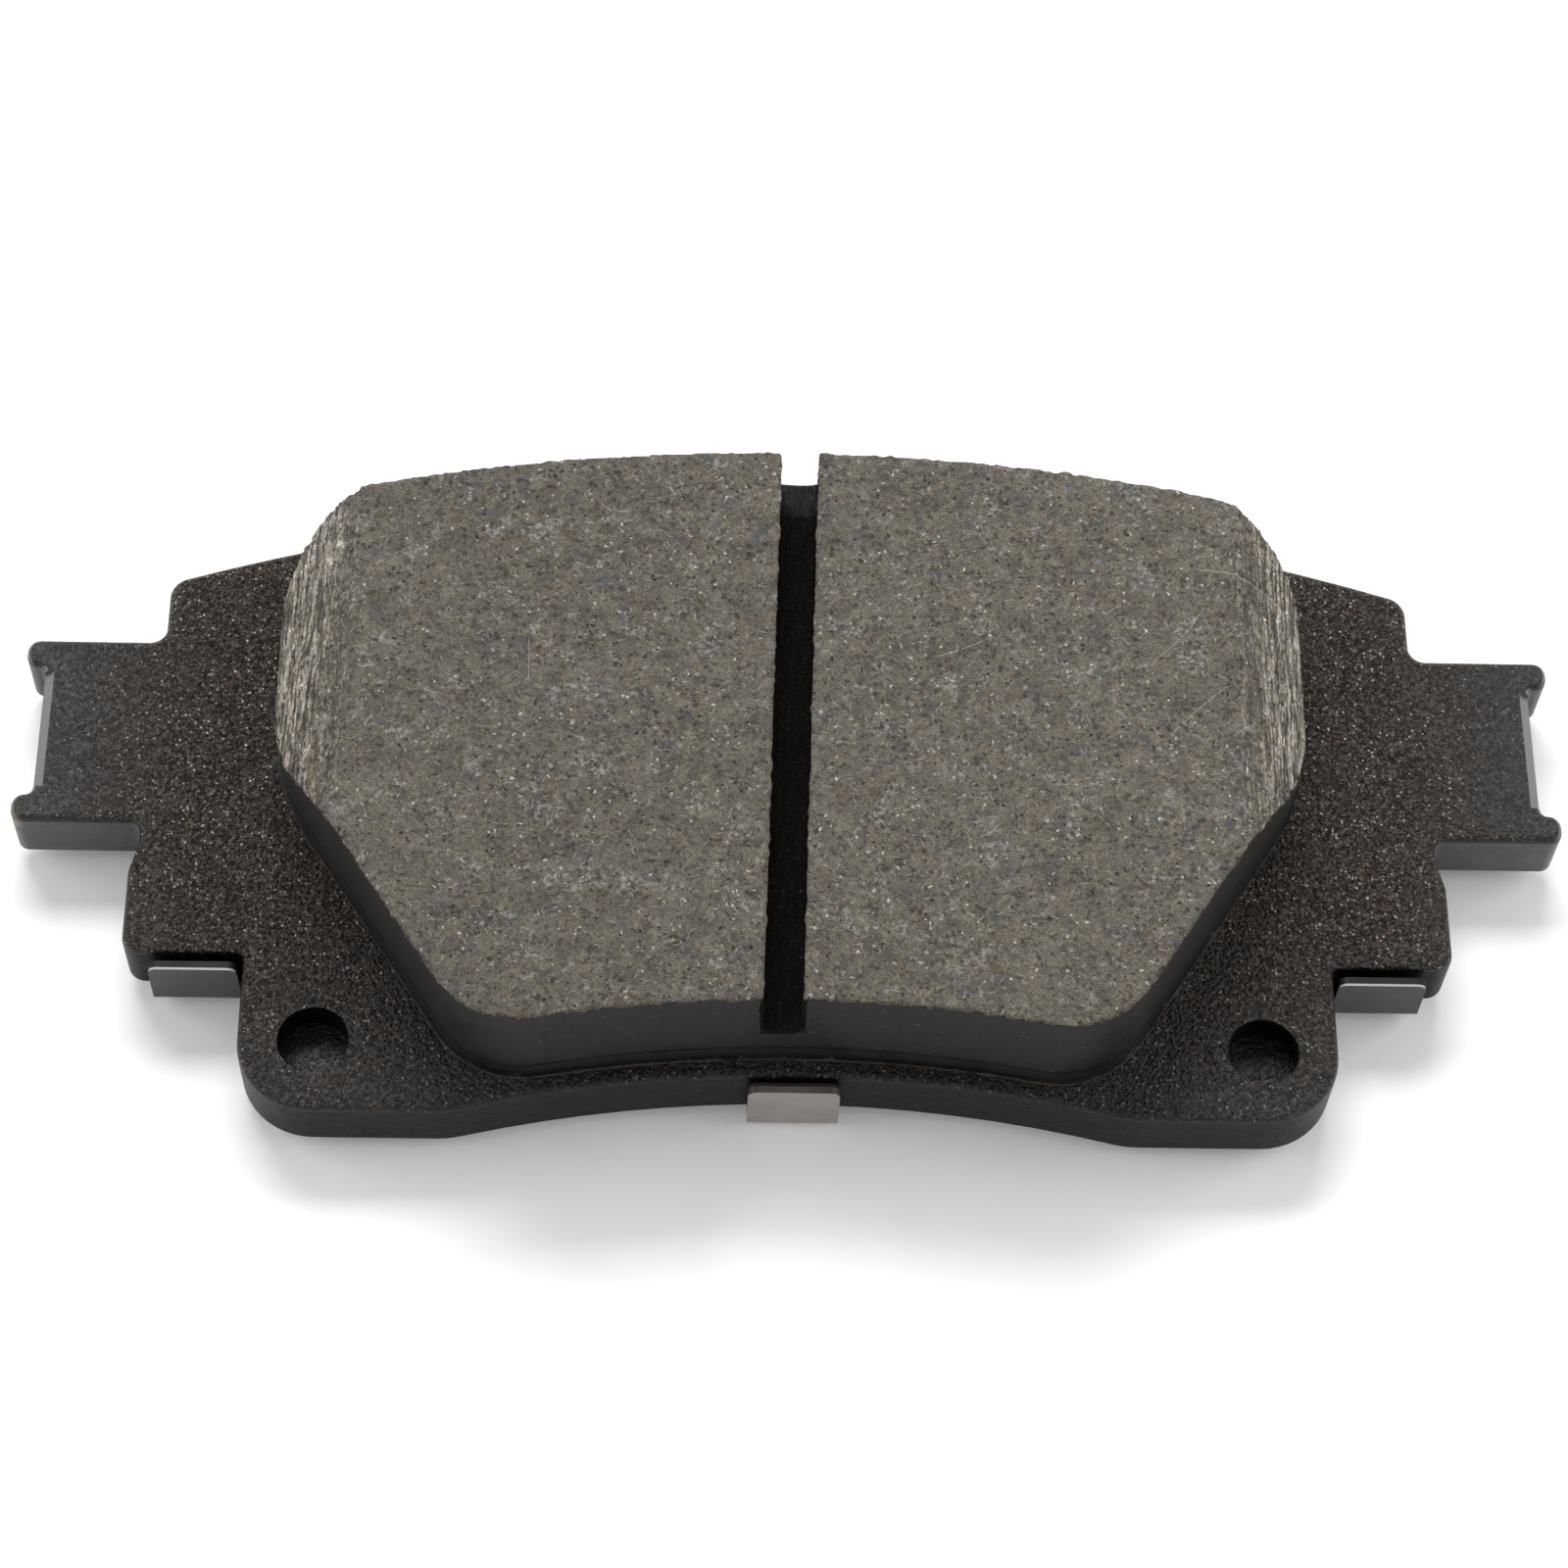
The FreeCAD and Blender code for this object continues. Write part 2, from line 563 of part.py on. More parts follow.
def outer_shim_tabs(body, name, gap, face_z, bend, thickness):
    """Centre tab below and above on a layer that lies gap outside the liner's inner faces."""
    start = "centre_tab_offset - centre_tab_width / 2"
    bent_strip(body, name + "_centre_tab", -1, "(%s - centre_tab_gap - %s)" % (PLATE_APEX, gap), face_z,
               bend, thickness, "centre_root + " + gap, "centre_tab_top", start, "centre_tab_width")
    top = bent_strip(body, name + "_top_tab", 1, "(%s + %s)" % (TOP_FACE, gap), face_z, bend,
                     thickness, "far_root + " + gap, "top_tab_top", start, "centre_tab_width")
    step = round_tabs(body, name + "_centre_tab_corners", top, "centre_tab_top")
    return round_tabs(body, name + "_top_tab_corners", step, "top_tab_top")


outer_shim = new_body("outer_shim")
outer_shim_sheet(outer_shim, "outer", STEEL_FACE, "steel_thickness")
outer_shim_tabs(outer_shim, "outer", "liner_thickness", STEEL_FACE,
                "bend_radius + liner_thickness", "steel_thickness")

liner = new_body("outer_shim_liner")
outer_shim_sheet(liner, "liner", LINER_FACE, "liner_thickness")
outer_shim_tabs(liner, "liner", "0", LINER_FACE, "bend_radius", "liner_thickness")

# ---------------------------------------------------------------- check and write
doc.recompute()
NODES = [plate, underlayer, friction, core, front_coat, back_coat, outer_shim, liner]
for item in doc.Objects:
    if "Invalid" in item.State or "Error" in item.State:
        raise RuntimeError("%s is %s" % (item.Name, item.State))
for body in NODES:
    shape = body.Shape
    if shape.isNull() or not shape.isValid() or len(shape.Solids) != 1:
        raise RuntimeError("%s has a bad shape" % body.Label)
    box = shape.BoundBox
    print("%-24s %9.1f mm3   x %7.2f %7.2f   y %7.2f %7.2f   z %6.2f %6.2f" % (
        body.Label, shape.Volume, box.XMin, box.XMax, box.YMin, box.YMax, box.ZMin, box.ZMax))
    shape.exportStep("parts/%s.step" % body.Label)
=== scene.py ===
import bpy, bmesh, math, random
import numpy as np
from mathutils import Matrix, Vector, noise
from mathutils.kdtree import KDTree


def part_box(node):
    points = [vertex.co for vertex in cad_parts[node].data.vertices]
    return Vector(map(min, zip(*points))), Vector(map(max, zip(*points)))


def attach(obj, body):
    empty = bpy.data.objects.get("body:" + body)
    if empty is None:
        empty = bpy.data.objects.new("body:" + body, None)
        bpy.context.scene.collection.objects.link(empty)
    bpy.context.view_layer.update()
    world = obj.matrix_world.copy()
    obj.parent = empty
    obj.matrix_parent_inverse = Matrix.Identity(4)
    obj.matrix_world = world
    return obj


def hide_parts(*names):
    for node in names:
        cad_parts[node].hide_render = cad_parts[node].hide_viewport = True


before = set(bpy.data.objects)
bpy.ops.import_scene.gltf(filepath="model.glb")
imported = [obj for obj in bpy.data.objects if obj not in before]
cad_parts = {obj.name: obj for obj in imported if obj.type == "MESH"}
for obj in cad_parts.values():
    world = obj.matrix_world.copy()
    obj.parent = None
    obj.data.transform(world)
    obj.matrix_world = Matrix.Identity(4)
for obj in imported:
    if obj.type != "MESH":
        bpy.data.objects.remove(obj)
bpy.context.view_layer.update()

MM = 0.001

# ---------------------------------------------------------------- sizes, in millimetres
block_low, block_high = [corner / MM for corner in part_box("friction_block")]
plate_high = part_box("backing_plate")[1] / MM
FACE_Z = block_high.z  # friction face
PLATE_Z = plate_high.z  # front of the backing plate
BEVEL_X = 62.4  # the bevels from hook to hook lie beyond this
EAR_X = 53.5  # where the ears begin
EAR_Y = 5.125  # middle of the ears
EAR_HALF = 9.6  # the part of an ear whose edges are painted light reaches this far above and below its middle
HOLE_X = 39.0  # blind holes
HOLE_Y = -23.825
HOLE_REACH = 3.0  # just over their radius
HOLE_DEPTH = 3.1  # just over their depth
ROLLED_EDGE = 0.7  # just over the roll of the plate's front edge
GRIND_ANGLE = math.radians(1.5)  # the slot and the end chamfers are ground this far off the centre line
CHAMFER_START = 37.2
CHAMFER_WIDTH = 6.2
SLOT_HALF = 1.6
SLOT_FLOOR = FACE_Z - 5.9
LIP_LENGTH = 3.5  # the slot's floor rises towards its far end
LIP_HEIGHT = 1.1
NEAR_EDGE_Y = -24.7  # lower edge of the lining at the slot
WORN_TIP = (-65.6, -3.4, 6.6)  # rubbed spot on the left lower hook
CHIP_CLUSTERS = (  # middle, spread along each axis, how many, least and most radius
    ((-31.6, -19.6, FACE_Z - 0.3), (0.9, 1.0, 0.35), 12, 0.25, 0.6),
    ((-2.4, NEAR_EDGE_Y, FACE_Z - 2.0), (0.35, 0.1, 1.2), 10, 0.2, 0.45),
    ((1.7, NEAR_EDGE_Y, FACE_Z - 4.4), (0.5, 0.1, 1.2), 12, 0.2, 0.5),
    ((1.9, NEAR_EDGE_Y, FACE_Z - 1.2), (0.3, 0.1, 0.8), 5, 0.2, 0.35),
    ((36.8, -11.3, FACE_Z - 0.4), (0.8, 0.8, 0.4), 8, 0.25, 0.6),
)
SCRATCHES = (  # circle centre, radius, half width, middle of the visible part, its reach, in XY
    ((33.0, -6.0), 22.0, 0.07, (38.5, 15.3), 5.2),
    ((20.0, 20.0), 16.5, 0.05, (33.0, 10.0), 4.5),
    ((60.0, -25.0), 38.0, 0.05, (33.5, 2.3), 4.0),
    ((5.0, 30.0), 24.0, 0.05, (14.0, 7.7), 2.6),
    ((-70.0, 5.0), 48.0, 0.04, (-22.0, 6.0), 2.4),
)


# ---------------------------------------------------------------- node helpers
def rgba(colour):
    """Four channels of a colour or of a grey level."""
    return (*colour, 1) if isinstance(colour, tuple) else (colour, colour, colour, 1)


class Nodes:
    """A material's node tree with short calls. Masks and factors run from 0 to 1."""

    def __init__(self, name):
        self.material = bpy.data.materials.new(name)
        self.material.use_nodes = True
        self.tree = self.material.node_tree
        self.tree.nodes.clear()
        self.out = self.tree.nodes.new("ShaderNodeOutputMaterial")
        self.shader = self.tree.nodes.new("ShaderNodeBsdfPrincipled")
        self.link(self.shader.outputs[0], self.out.inputs[0])
        self.coords = self.tree.nodes.new("ShaderNodeTexCoord")

    # plumbing
    def link(self, source, target):
        self.tree.links.new(source, target)

    def feed(self, socket, value):
        if hasattr(value, "is_output"):
            self.link(value, socket)
        else:
            socket.default_value = value

    def feed_colour(self, socket, value):
        self.feed(socket, rgba(value) if isinstance(value, tuple) else value)

    def node(self, kind, **settings):
        made = self.tree.nodes.new(kind)
        for key, value in settings.items():
            setattr(made, key, value)
        return made

    # arithmetic
    def math(self, operation, a, b=0.0):
        made = self.node("ShaderNodeMath", operation=operation)
        self.feed(made.inputs[0], a)
        self.feed(made.inputs[1], b)
        return made.outputs[0]

    def plus(self, a, b):
        return self.math("ADD", a, b)

    def times(self, a, b):
        return self.math("MULTIPLY", a, b)

    def size_of(self, a):
        return self.math("ABSOLUTE", a)

    def opposite(self, mask):
        return self.math("SUBTRACT", 1.0, mask)

    def step(self, value, low, high):
        """0 at low and 1 at high, in proportion between them. Low may be the greater."""
        made = self.node("ShaderNodeMapRange", clamp=True)
        self.link(value, made.inputs["Value"])
        made.inputs["From Min"].default_value = low
        made.inputs["From Max"].default_value = high
        return made.outputs[0]

    def split(self, vector):
        made = self.node("ShaderNodeSeparateXYZ")
        self.link(vector, made.inputs[0])
        return tuple(made.outputs)

    def distance(self, vector, point):
        made = self.node("ShaderNodeVectorMath", operation="DISTANCE")
        self.link(vector, made.inputs[0])
        made.inputs[1].default_value = point
        return made.outputs["Value"]

    # places, in millimetres
    def stretched(self, scale=(1, 1, 1), turn=0.0, offset=(0, 0, 0)):
        """Object coordinates, turned about Z and then scaled along each axis."""
        turned = self.node("ShaderNodeMapping", vector_type="POINT")
        self.link(self.coords.outputs["Object"], turned.inputs["Vector"])
        turned.inputs["Rotation"].default_value = (0, 0, turn)
        turned.inputs["Scale"].default_value = (1 / MM,) * 3
        made = self.node("ShaderNodeMapping", vector_type="POINT")
        self.link(turned.outputs[0], made.inputs["Vector"])
        made.inputs["Scale"].default_value = scale
        made.inputs["Location"].default_value = offset
        return made.outputs[0]

    def position(self, turn=0.0):
        return self.split(self.stretched(turn=turn))

    def facing(self):
        return self.split(self.coords.outputs["Normal"])

    def warped(self, scale, reach):
        """Object coordinates shaken by noise up to about reach."""
        wobble = self.node("ShaderNodeTexNoise")
        self.link(self.stretched(), wobble.inputs["Vector"])
        wobble.inputs["Scale"].default_value = scale
        scaled = self.node("ShaderNodeVectorMath", operation="SCALE")
        self.link(wobble.outputs["Color"], scaled.inputs[0])
        scaled.inputs["Scale"].default_value = reach
        shaken = self.node("ShaderNodeVectorMath", operation="ADD")
        self.link(self.stretched(), shaken.inputs[0])
        self.link(scaled.outputs[0], shaken.inputs[1])
        return shaken.outputs[0]

    # patterns
    def noise(self, size, detail, rough, offset=0.0, vector=None):
        """Noise about 0.5 whose features are about size millimetres across."""
        made = self.node("ShaderNodeTexNoise", noise_dimensions="3D")
        self.link(vector or self.stretched(offset=(offset,) * 3), made.inputs["Vector"])
        made.inputs["Scale"].default_value = 1.0 / size
        made.inputs["Detail"].default_value = detail
        made.inputs["Roughness"].default_value = rough
        return made.outputs["Fac"]

    def cells(self, size, vector):
        """(distance, colour) of a Voronoi pattern with cells about size millimetres across."""
        made = self.node("ShaderNodeTexVoronoi")
        self.link(vector, made.inputs["Vector"])
        made.inputs["Scale"].default_value = 1.0 / size
        return made.outputs["Distance"], made.outputs["Color"]

    def dots(self, size, bare, reach, core, vector, channel=0):
        """Dots in a random few of the cells: full out to core and gone at reach, both in cell sizes.

        bare is the share of cells left without one, and channel the cell colour that decides it.
        """
        distance, cell = self.cells(size, vector)
        chosen = self.math("GREATER_THAN", self.split(cell)[channel], bare)
        return self.times(chosen, self.step(distance, reach, core))

    def spot(self, centre, reach, soft):
        """1 near a point, 0 beyond reach."""
        return self.step(self.distance(self.stretched(), centre), reach, reach - soft)

    def arc(self, centre, radius, width, middle, reach):
        """A thin circular scratch in the XY plane, cut off beyond reach from its middle point."""
        flat = self.stretched((1, 1, 0))
        gap = self.size_of(self.math("SUBTRACT", self.distance(flat, (*centre, 0)), radius))
        line = self.step(gap, width, width * 0.4)
        return self.times(line, self.step(self.distance(flat, (*middle, 0)), reach, reach * 0.7))

    # colours
    def ramp(self, value, stops):
        """Colour or grey ramp; stops are (place, grey or colour)."""
        made = self.node("ShaderNodeValToRGB")
        self.link(value, made.inputs[0])
        bar = made.color_ramp
        while len(bar.elements) < len(stops):
            bar.elements.new(0.5)
        for element, (place, colour) in zip(bar.elements, stops):
            element.position = place
            element.color = rgba(colour)
        return made.outputs[0]

    def mix(self, factor, a, b, blend="MIX"):
        made = self.node("ShaderNodeMix", data_type="RGBA", blend_type=blend)
        self.feed(made.inputs[0], factor)
        self.feed_colour(made.inputs[6], a)
        self.feed_colour(made.inputs[7], b)
        return made.outputs[2]

    def stain(self, colour, mask, strength, tint):
        """Lay a tint over a colour inside a mask."""
        return self.mix(self.times(mask, strength), colour, tint)

    def shade(self, colour, light, amount=1.0):
        """Multiply a colour by a level of light."""
        return self.mix(amount, colour, light, "MULTIPLY")

    # surface
    def bump(self, height, distance):
        """Bump whose height of 1 stands distance millimetres proud."""
        made = self.node("ShaderNodeBump")
        made.inputs["Strength"].default_value = 1.0
        made.inputs["Distance"].default_value = distance * MM
        self.link(height, made.inputs["Height"])
        return made.outputs[0]

    def finish(self, colour, roughness, normal=None, metallic=0.0, specular=0.5):
        self.feed_colour(self.shader.inputs["Base Color"], colour)
        self.feed(self.shader.inputs["Roughness"], roughness)
        self.shader.inputs["Metallic"].default_value = metallic
        self.shader.inputs["Specular IOR Level"].default_value = specular
        if normal is not None:
            self.link(normal, self.shader.inputs["Normal"])
        return self.material


# ---------------------------------------------------------------- materials
def friction_colour(n, light=1.0):
    """Taupe compound with soft blotches, grains, flakes and fibres, and painted shade that darkens it
    towards the left. Returns (colour, grain height).
    """
    colour = n.ramp(n.noise(1.5, 5.0, 0.68, 17.0), [
        (0.34, (0.078, 0.069, 0.056)),
        (0.46, (0.12, 0.105, 0.082)),
        (0.56, (0.14, 0.122, 0.093)),
        (0.7, (0.162, 0.146, 0.118)),
    ])
    blue = n.step(n.noise(1.4, 4.0, 0.72, 57.0), 0.56, 0.61)
    colour = n.stain(colour, blue, 0.8, (0.072, 0.078, 0.082))
    brown = n.step(n.noise(0.9, 4.0, 0.7, 91.0), 0.57, 0.64)
    colour = n.stain(colour, brown, 0.65, (0.062, 0.042, 0.028))
    blotch = n.step(n.noise(6.0, 3.0, 0.55, 3.0), 0.5, 0.72)
    colour = n.stain(colour, blotch, 0.25, (0.165, 0.146, 0.118))
    grain = n.noise(0.17, 3.0, 0.75, 31.0)
    colour = n.shade(colour, n.ramp(grain, [(0.3, 0.4), (0.43, 0.84), (0.55, 1.08), (0.7, 1.9)]))
    warped = n.warped(3.0, 0.6)
    for size, bare, reach, tint, strength in (
        (1.1, 0.82, 0.3, (0.026, 0.019, 0.013), 0.75),
        (0.7, 0.82, 0.32, (0.02, 0.015, 0.011), 0.8),
        (0.85, 0.88, 0.27, (0.34, 0.33, 0.3), 0.7),
        (0.42, 0.93, 0.36, (0.54, 0.52, 0.49), 0.92),
        (0.5, 0.85, 0.38, (0.012, 0.01, 0.008), 0.95),
        (1.5, 0.89, 0.33, (0.1, 0.056, 0.038), 0.55),
        (1.2, 0.84, 0.36, (0.075, 0.083, 0.09), 0.85),
    ):
        grains = n.dots(size, bare, reach, reach * 0.5, warped)
        colour = n.stain(colour, grains, strength, tint)
    for turn, offset in ((0.3, 5.0), (1.2, 9.0), (2.1, 14.0), (2.8, 23.0)):
        along = n.stretched((0.62, 4.8, 1.0), turn, (offset,) * 3)
        fibres = n.dots(0.85, 0.9, 0.3, 0.1, along, channel=1)
        colour = n.stain(colour, fibres, 0.75, (0.38, 0.37, 0.35))
    flaky = n.step(n.noise(3.4, 3.0, 0.6, 33.0), 0.56, 0.62)
    flakes = n.step(n.noise(0.5, 4.0, 0.75, 61.0), 0.53, 0.57)
    colour = n.stain(colour, n.times(flaky, flakes), 0.68, (0.32, 0.315, 0.305))
    burnt = n.step(n.noise(2.9, 3.0, 0.6, 77.0), 0.57, 0.64)
    cinders = n.step(n.noise(0.55, 4.0, 0.75, 19.0), 0.5, 0.55)
    colour = n.stain(colour, n.times(burnt, cinders), 0.75, (0.034, 0.028, 0.023))
    # painted shade: the compound is painted darker towards the left, where the light fell more weakly
    rightward = n.step(n.position()[0], -20.0, 30.0)
    return n.shade(colour, n.ramp(rightward, [(0.0, light * 0.9), (1.0, light * 0.97)])), grain


def scratched(n, colour):
    for centre, radius, width, middle, reach in SCRATCHES:
        colour = n.stain(colour, n.arc(centre, radius, width, middle, reach), 0.75, (0.34, 0.325, 0.3))
    return colour


def friction_face():
    n = Nodes("ground_friction_face")
    colour, grain = friction_colour(n)
    colour = scratched(n, colour)
    level = n.step(n.noise(0.5, 3.0, 0.6, 71.0), 0.3, 0.42)  # 0 in the pits
    # painted shade: the pits are painted darker
    colour = n.stain(colour, n.opposite(level), 0.6, (0.025, 0.021, 0.017))
    height = n.plus(n.times(grain, 0.8), n.times(level, 0.6))
    rough = n.ramp(grain, [(0.3, 0.9), (0.7, 0.6)])
    return n.finish(colour, rough, n.bump(height, 0.17), specular=0.38)


def friction_chamfer():
    """The compound torn along the grinding direction, palest in a band at the outer end with painted
    highlights along its streaks; painted highlight and painted shade mark its inner edge, and painted
    shade darkens the torn holes.
    """
    n = Nodes("ground_friction_chamfer")
    colour, grain = friction_colour(n, 1.22)
    streak = n.noise(0.32, 3.0, 0.65, vector=n.stretched((1.0, 0.08, 1.0), GRIND_ANGLE, (2.0, 3.0, 4.0)))
    fine = n.noise(0.17, 4.0, 0.72, vector=n.stretched((1.0, 0.28, 1.0), GRIND_ANGLE, (8.0, 1.0, 6.0)))
    torn = n.noise(0.9, 4.0, 0.7, 44.0)
    outward = n.size_of(n.position(GRIND_ANGLE)[0])
    outer = n.step(n.plus(outward, n.times(torn, 3.0)), 40.0, 42.5)
    soft_streaks = n.ramp(streak, [(0.34, 0.55), (0.5, 0.95), (0.66, 1.5)])
    hard_streaks = n.ramp(streak, [(0.36, 0.25), (0.47, 0.85), (0.6, 2.7)])
    colour = n.shade(colour, n.mix(outer, soft_streaks, hard_streaks))
    colour = n.shade(colour, n.ramp(fine, [(0.33, 0.28), (0.5, 0.9), (0.66, 2.0)]), 0.9)
    # painted highlights: pale marks on the streaks in the outer band, where the ground ridges would
    # catch the light
    streak_highlights = n.times(n.times(outer, n.step(streak, 0.53, 0.62)), n.step(fine, 0.42, 0.56))
    colour = n.stain(colour, streak_highlights, 0.7, (0.42, 0.395, 0.37))
    # painted shade: the torn holes are painted dark
    holes = n.times(n.opposite(n.times(outer, 0.7)), n.step(torn, 0.47, 0.36))
    colour = n.stain(colour, holes, 0.75, (0.024, 0.02, 0.016))
    flakes = n.times(n.opposite(outer), n.step(torn, 0.58, 0.66))
    colour = n.stain(colour, flakes, 0.5, (0.3, 0.28, 0.25))
    ragged = n.plus(outward, n.times(n.math("SUBTRACT", torn, 0.5), 2.2))
    inner_edge = n.step(ragged, CHAMFER_START + 0.75, CHAMFER_START + 0.35)
    # painted shade: a darker band painted on the chamfer just beyond its inner edge
    dim = n.times(n.step(n.plus(outward, n.times(torn, 1.6)), 39.6, 38.8), n.opposite(inner_edge))
    colour = n.stain(colour, dim, 0.4, (0.05, 0.044, 0.036))
    # painted highlight: a broken pale line painted along the chamfer's inner edge
    pale = n.times(n.times(inner_edge, n.step(torn, 0.48, 0.62)), n.step(fine, 0.4, 0.6))
    colour = n.stain(colour, pale, 0.8, (0.26, 0.24, 0.21))
    height = n.plus(streak, n.plus(n.times(grain, 0.5), n.times(torn, 0.8)))
    return n.finish(scratched(n, colour), 0.82, n.bump(height, 0.22), specular=0.35)


def moulded_side(name, flash_base=None):
    """Dark moulded wall, painted paler where it faces sideways, painted light from the side lamps. A
    thin pale flash line runs along flash_base.
    """
    n = Nodes(name)
    haze = n.noise(4.0, 3.0, 0.6, 7.0)
    grain = n.noise(0.3, 3.0, 0.6, 13.0)
    colour = n.ramp(haze, [(0.3, (0.006, 0.006, 0.0064)), (0.7, (0.013, 0.0128, 0.0125))])
    colour = n.shade(colour, n.ramp(grain, [(0.3, 0.7), (0.7, 1.5)]))
    shifted = n.stretched(offset=(41.0,) * 3)
    for size, bare, strength in ((0.7, 0.93, 0.5), (1.9, 0.94, 0.7)):
        dust = n.dots(size, bare, 0.15 / size, 0.07 / size, shifted)
        colour = n.stain(colour, dust, strength, (0.15, 0.14, 0.125))
    # painted light: walls facing sideways are painted paler, as lit from the sides
    flank = n.step(n.size_of(n.facing()[0]), 0.45, 0.8)
    colour = n.stain(colour, flank, 0.7, (0.026, 0.0245, 0.0235))
    if flash_base is not None:
        ragged_height = n.plus(n.position()[2], n.times(n.noise(1.4, 3.0, 0.7, 27.0), 0.5))
        line = n.step(ragged_height, flash_base + 0.62, flash_base + 0.5)
        broken = n.step(n.noise(2.2, 4.0, 0.7, 66.0), 0.34, 0.52)
        colour = n.stain(colour, n.times(line, broken), 0.85, (0.13, 0.11, 0.095))
    rough = n.ramp(haze, [(0.3, 0.5), (0.7, 0.62)])
    return n.finish(colour, rough, n.bump(grain, 0.025), specular=0.26)


def cut_slot():
    n = Nodes("sawn_friction_slot")
    grain = n.noise(0.35, 4.0, 0.7, 5.0)
    saw = n.noise(0.3, 3.0, 0.6, vector=n.stretched((1.0, 0.1, 1.0), GRIND_ANGLE, (2.0, 9.0, 4.0)))
    # painted shade: the slot's walls are painted near black, standing in for the shade in the narrow
    # slot
    colour = n.ramp(grain, [
        (0.3, (0.003, 0.0028, 0.0022)),
        (0.6, (0.009, 0.0082, 0.0066)),
        (0.78, (0.09, 0.08, 0.068)),
    ])
    # painted light: the slot is painted lighter at its open far end, where light reaches in
    far_end = n.step(n.position()[1], 24.2, 26.2)
    colour = n.stain(colour, far_end, 0.6, (0.075, 0.073, 0.068))
    colour = n.shade(colour, n.ramp(saw, [(0.35, 0.6), (0.65, 1.4)]))
    return n.finish(colour, 0.9, n.bump(grain, 0.12), specular=0.1)


def worn_tip(n, colour):
    """The coat with its small rubbed brown spot on one hook."""
    rubbed = n.step(n.noise(0.4, 3.0, 0.7, 83.0), 0.42, 0.54)
    return n.stain(colour, n.times(n.spot(WORN_TIP, 1.2, 0.6), rubbed), 0.85, (0.24, 0.17, 0.09))


def powder_front():
    """Black powder coat with fine grit and painted glints, painted highlights densest near the lining;
    painted shade darkens its lower part and the blind holes; smooth on the hooks' bevels.
    """
    n = Nodes("gritty_powder_coat")
    across, up, depth = n.position()
    reach_x = n.size_of(across)
    facing_x, _, facing_z = n.facing()
    front = n.step(facing_z, 0.3, 0.75)
    near_lining = n.times(n.step(reach_x, 64.0, 50.0), n.step(up, -36.0, -9.0))
    sunken = n.step(depth, PLATE_Z - 0.3, PLATE_Z - 1.2)  # inside the blind holes
    bevel = n.times(n.step(facing_z, 0.3, 0.5), n.step(n.size_of(facing_x), 0.35, 0.5))
    bevel = n.times(bevel, n.step(reach_x, BEVEL_X, BEVEL_X + 0.5))
    warped = n.warped(2.6, 0.25)
    fine = n.noise(0.14, 3.0, 0.65, 12.0)
    haze = n.noise(7.0, 4.0, 0.6, 4.0)

    low = n.ramp(haze, [(0.3, (0.004, 0.0037, 0.0035)), (0.7, (0.0085, 0.008, 0.0075))])
    high = n.ramp(haze, [(0.3, (0.0135, 0.0131, 0.0126)), (0.7, (0.0215, 0.0207, 0.0199))])
    inner = n.ramp(haze, [(0.3, (0.005, 0.0037, 0.003)), (0.7, (0.0105, 0.0078, 0.0064))])
    # painted shade: the coat on the lower lobes is painted darker, standing in for the shade the lining
    # casts there
    outer = n.mix(n.step(up, -20.0, -10.0), low, high)
    colour = n.mix(near_lining, outer, inner)
    colour = n.shade(colour, n.ramp(fine, [(0.34, 0.4), (0.66, 1.65)]))
    # painted highlight: bright specks where the grit would catch the light, mostly near the lining
    bright = n.times(n.step(n.noise(0.25, 3.0, 0.75, 2.0), 0.46, 0.6), n.step(fine, 0.4, 0.56))
    share = n.times(front, n.plus(n.times(near_lining, 0.6), 0.1))
    colour = n.stain(colour, bright, share, (0.185, 0.15, 0.122))
    # painted glints: pale, grey and red-brown dots of painted highlight, densest near the lining
    for size, bare, reach, tint, inside, outside in (
        (0.34, 0.84, 0.42, (0.2, 0.105, 0.068), 0.75, 0.0),
        (0.32, 0.83, 0.44, (0.24, 0.2, 0.17), 0.6, 0.1),
        (0.28, 0.92, 0.46, (0.62, 0.56, 0.5), 0.7, 0.1),
    ):
        glints = n.times(n.dots(size, bare, reach, reach * 0.4, warped), front)
        colour = n.stain(colour, glints, n.plus(n.times(near_lining, inside), outside), tint)
    # painted shade: the inside of the blind holes is painted darker
    colour = n.stain(colour, sunken, 0.6, (0.0035, 0.003, 0.0026))
    colour = n.stain(colour, bevel, 0.9, (0.15, 0.15, 0.148))

    pebbles = n.step(n.cells(0.36, warped)[0], 0.62, 0.15)
    grit = n.plus(n.times(pebbles, 0.7), n.times(fine, 0.5))
    grit = n.times(grit, n.plus(n.times(near_lining, 0.8), 0.4))
    height = n.times(n.plus(grit, n.times(n.noise(1.0, 3.0, 0.6, 2.0), 0.5)), front)
    height = n.plus(height, n.times(n.noise(1.7, 4.0, 0.6, 22.0), 0.5))
    height = n.times(height, n.opposite(n.times(sunken, 0.6)))
    height = n.times(height, n.opposite(n.times(bevel, 0.9)))
    rough = n.ramp(near_lining, [(0.0, 0.36), (1.0, 0.25)])
    return n.finish(worn_tip(n, colour), rough, n.bump(height, 0.27), specular=0.3)


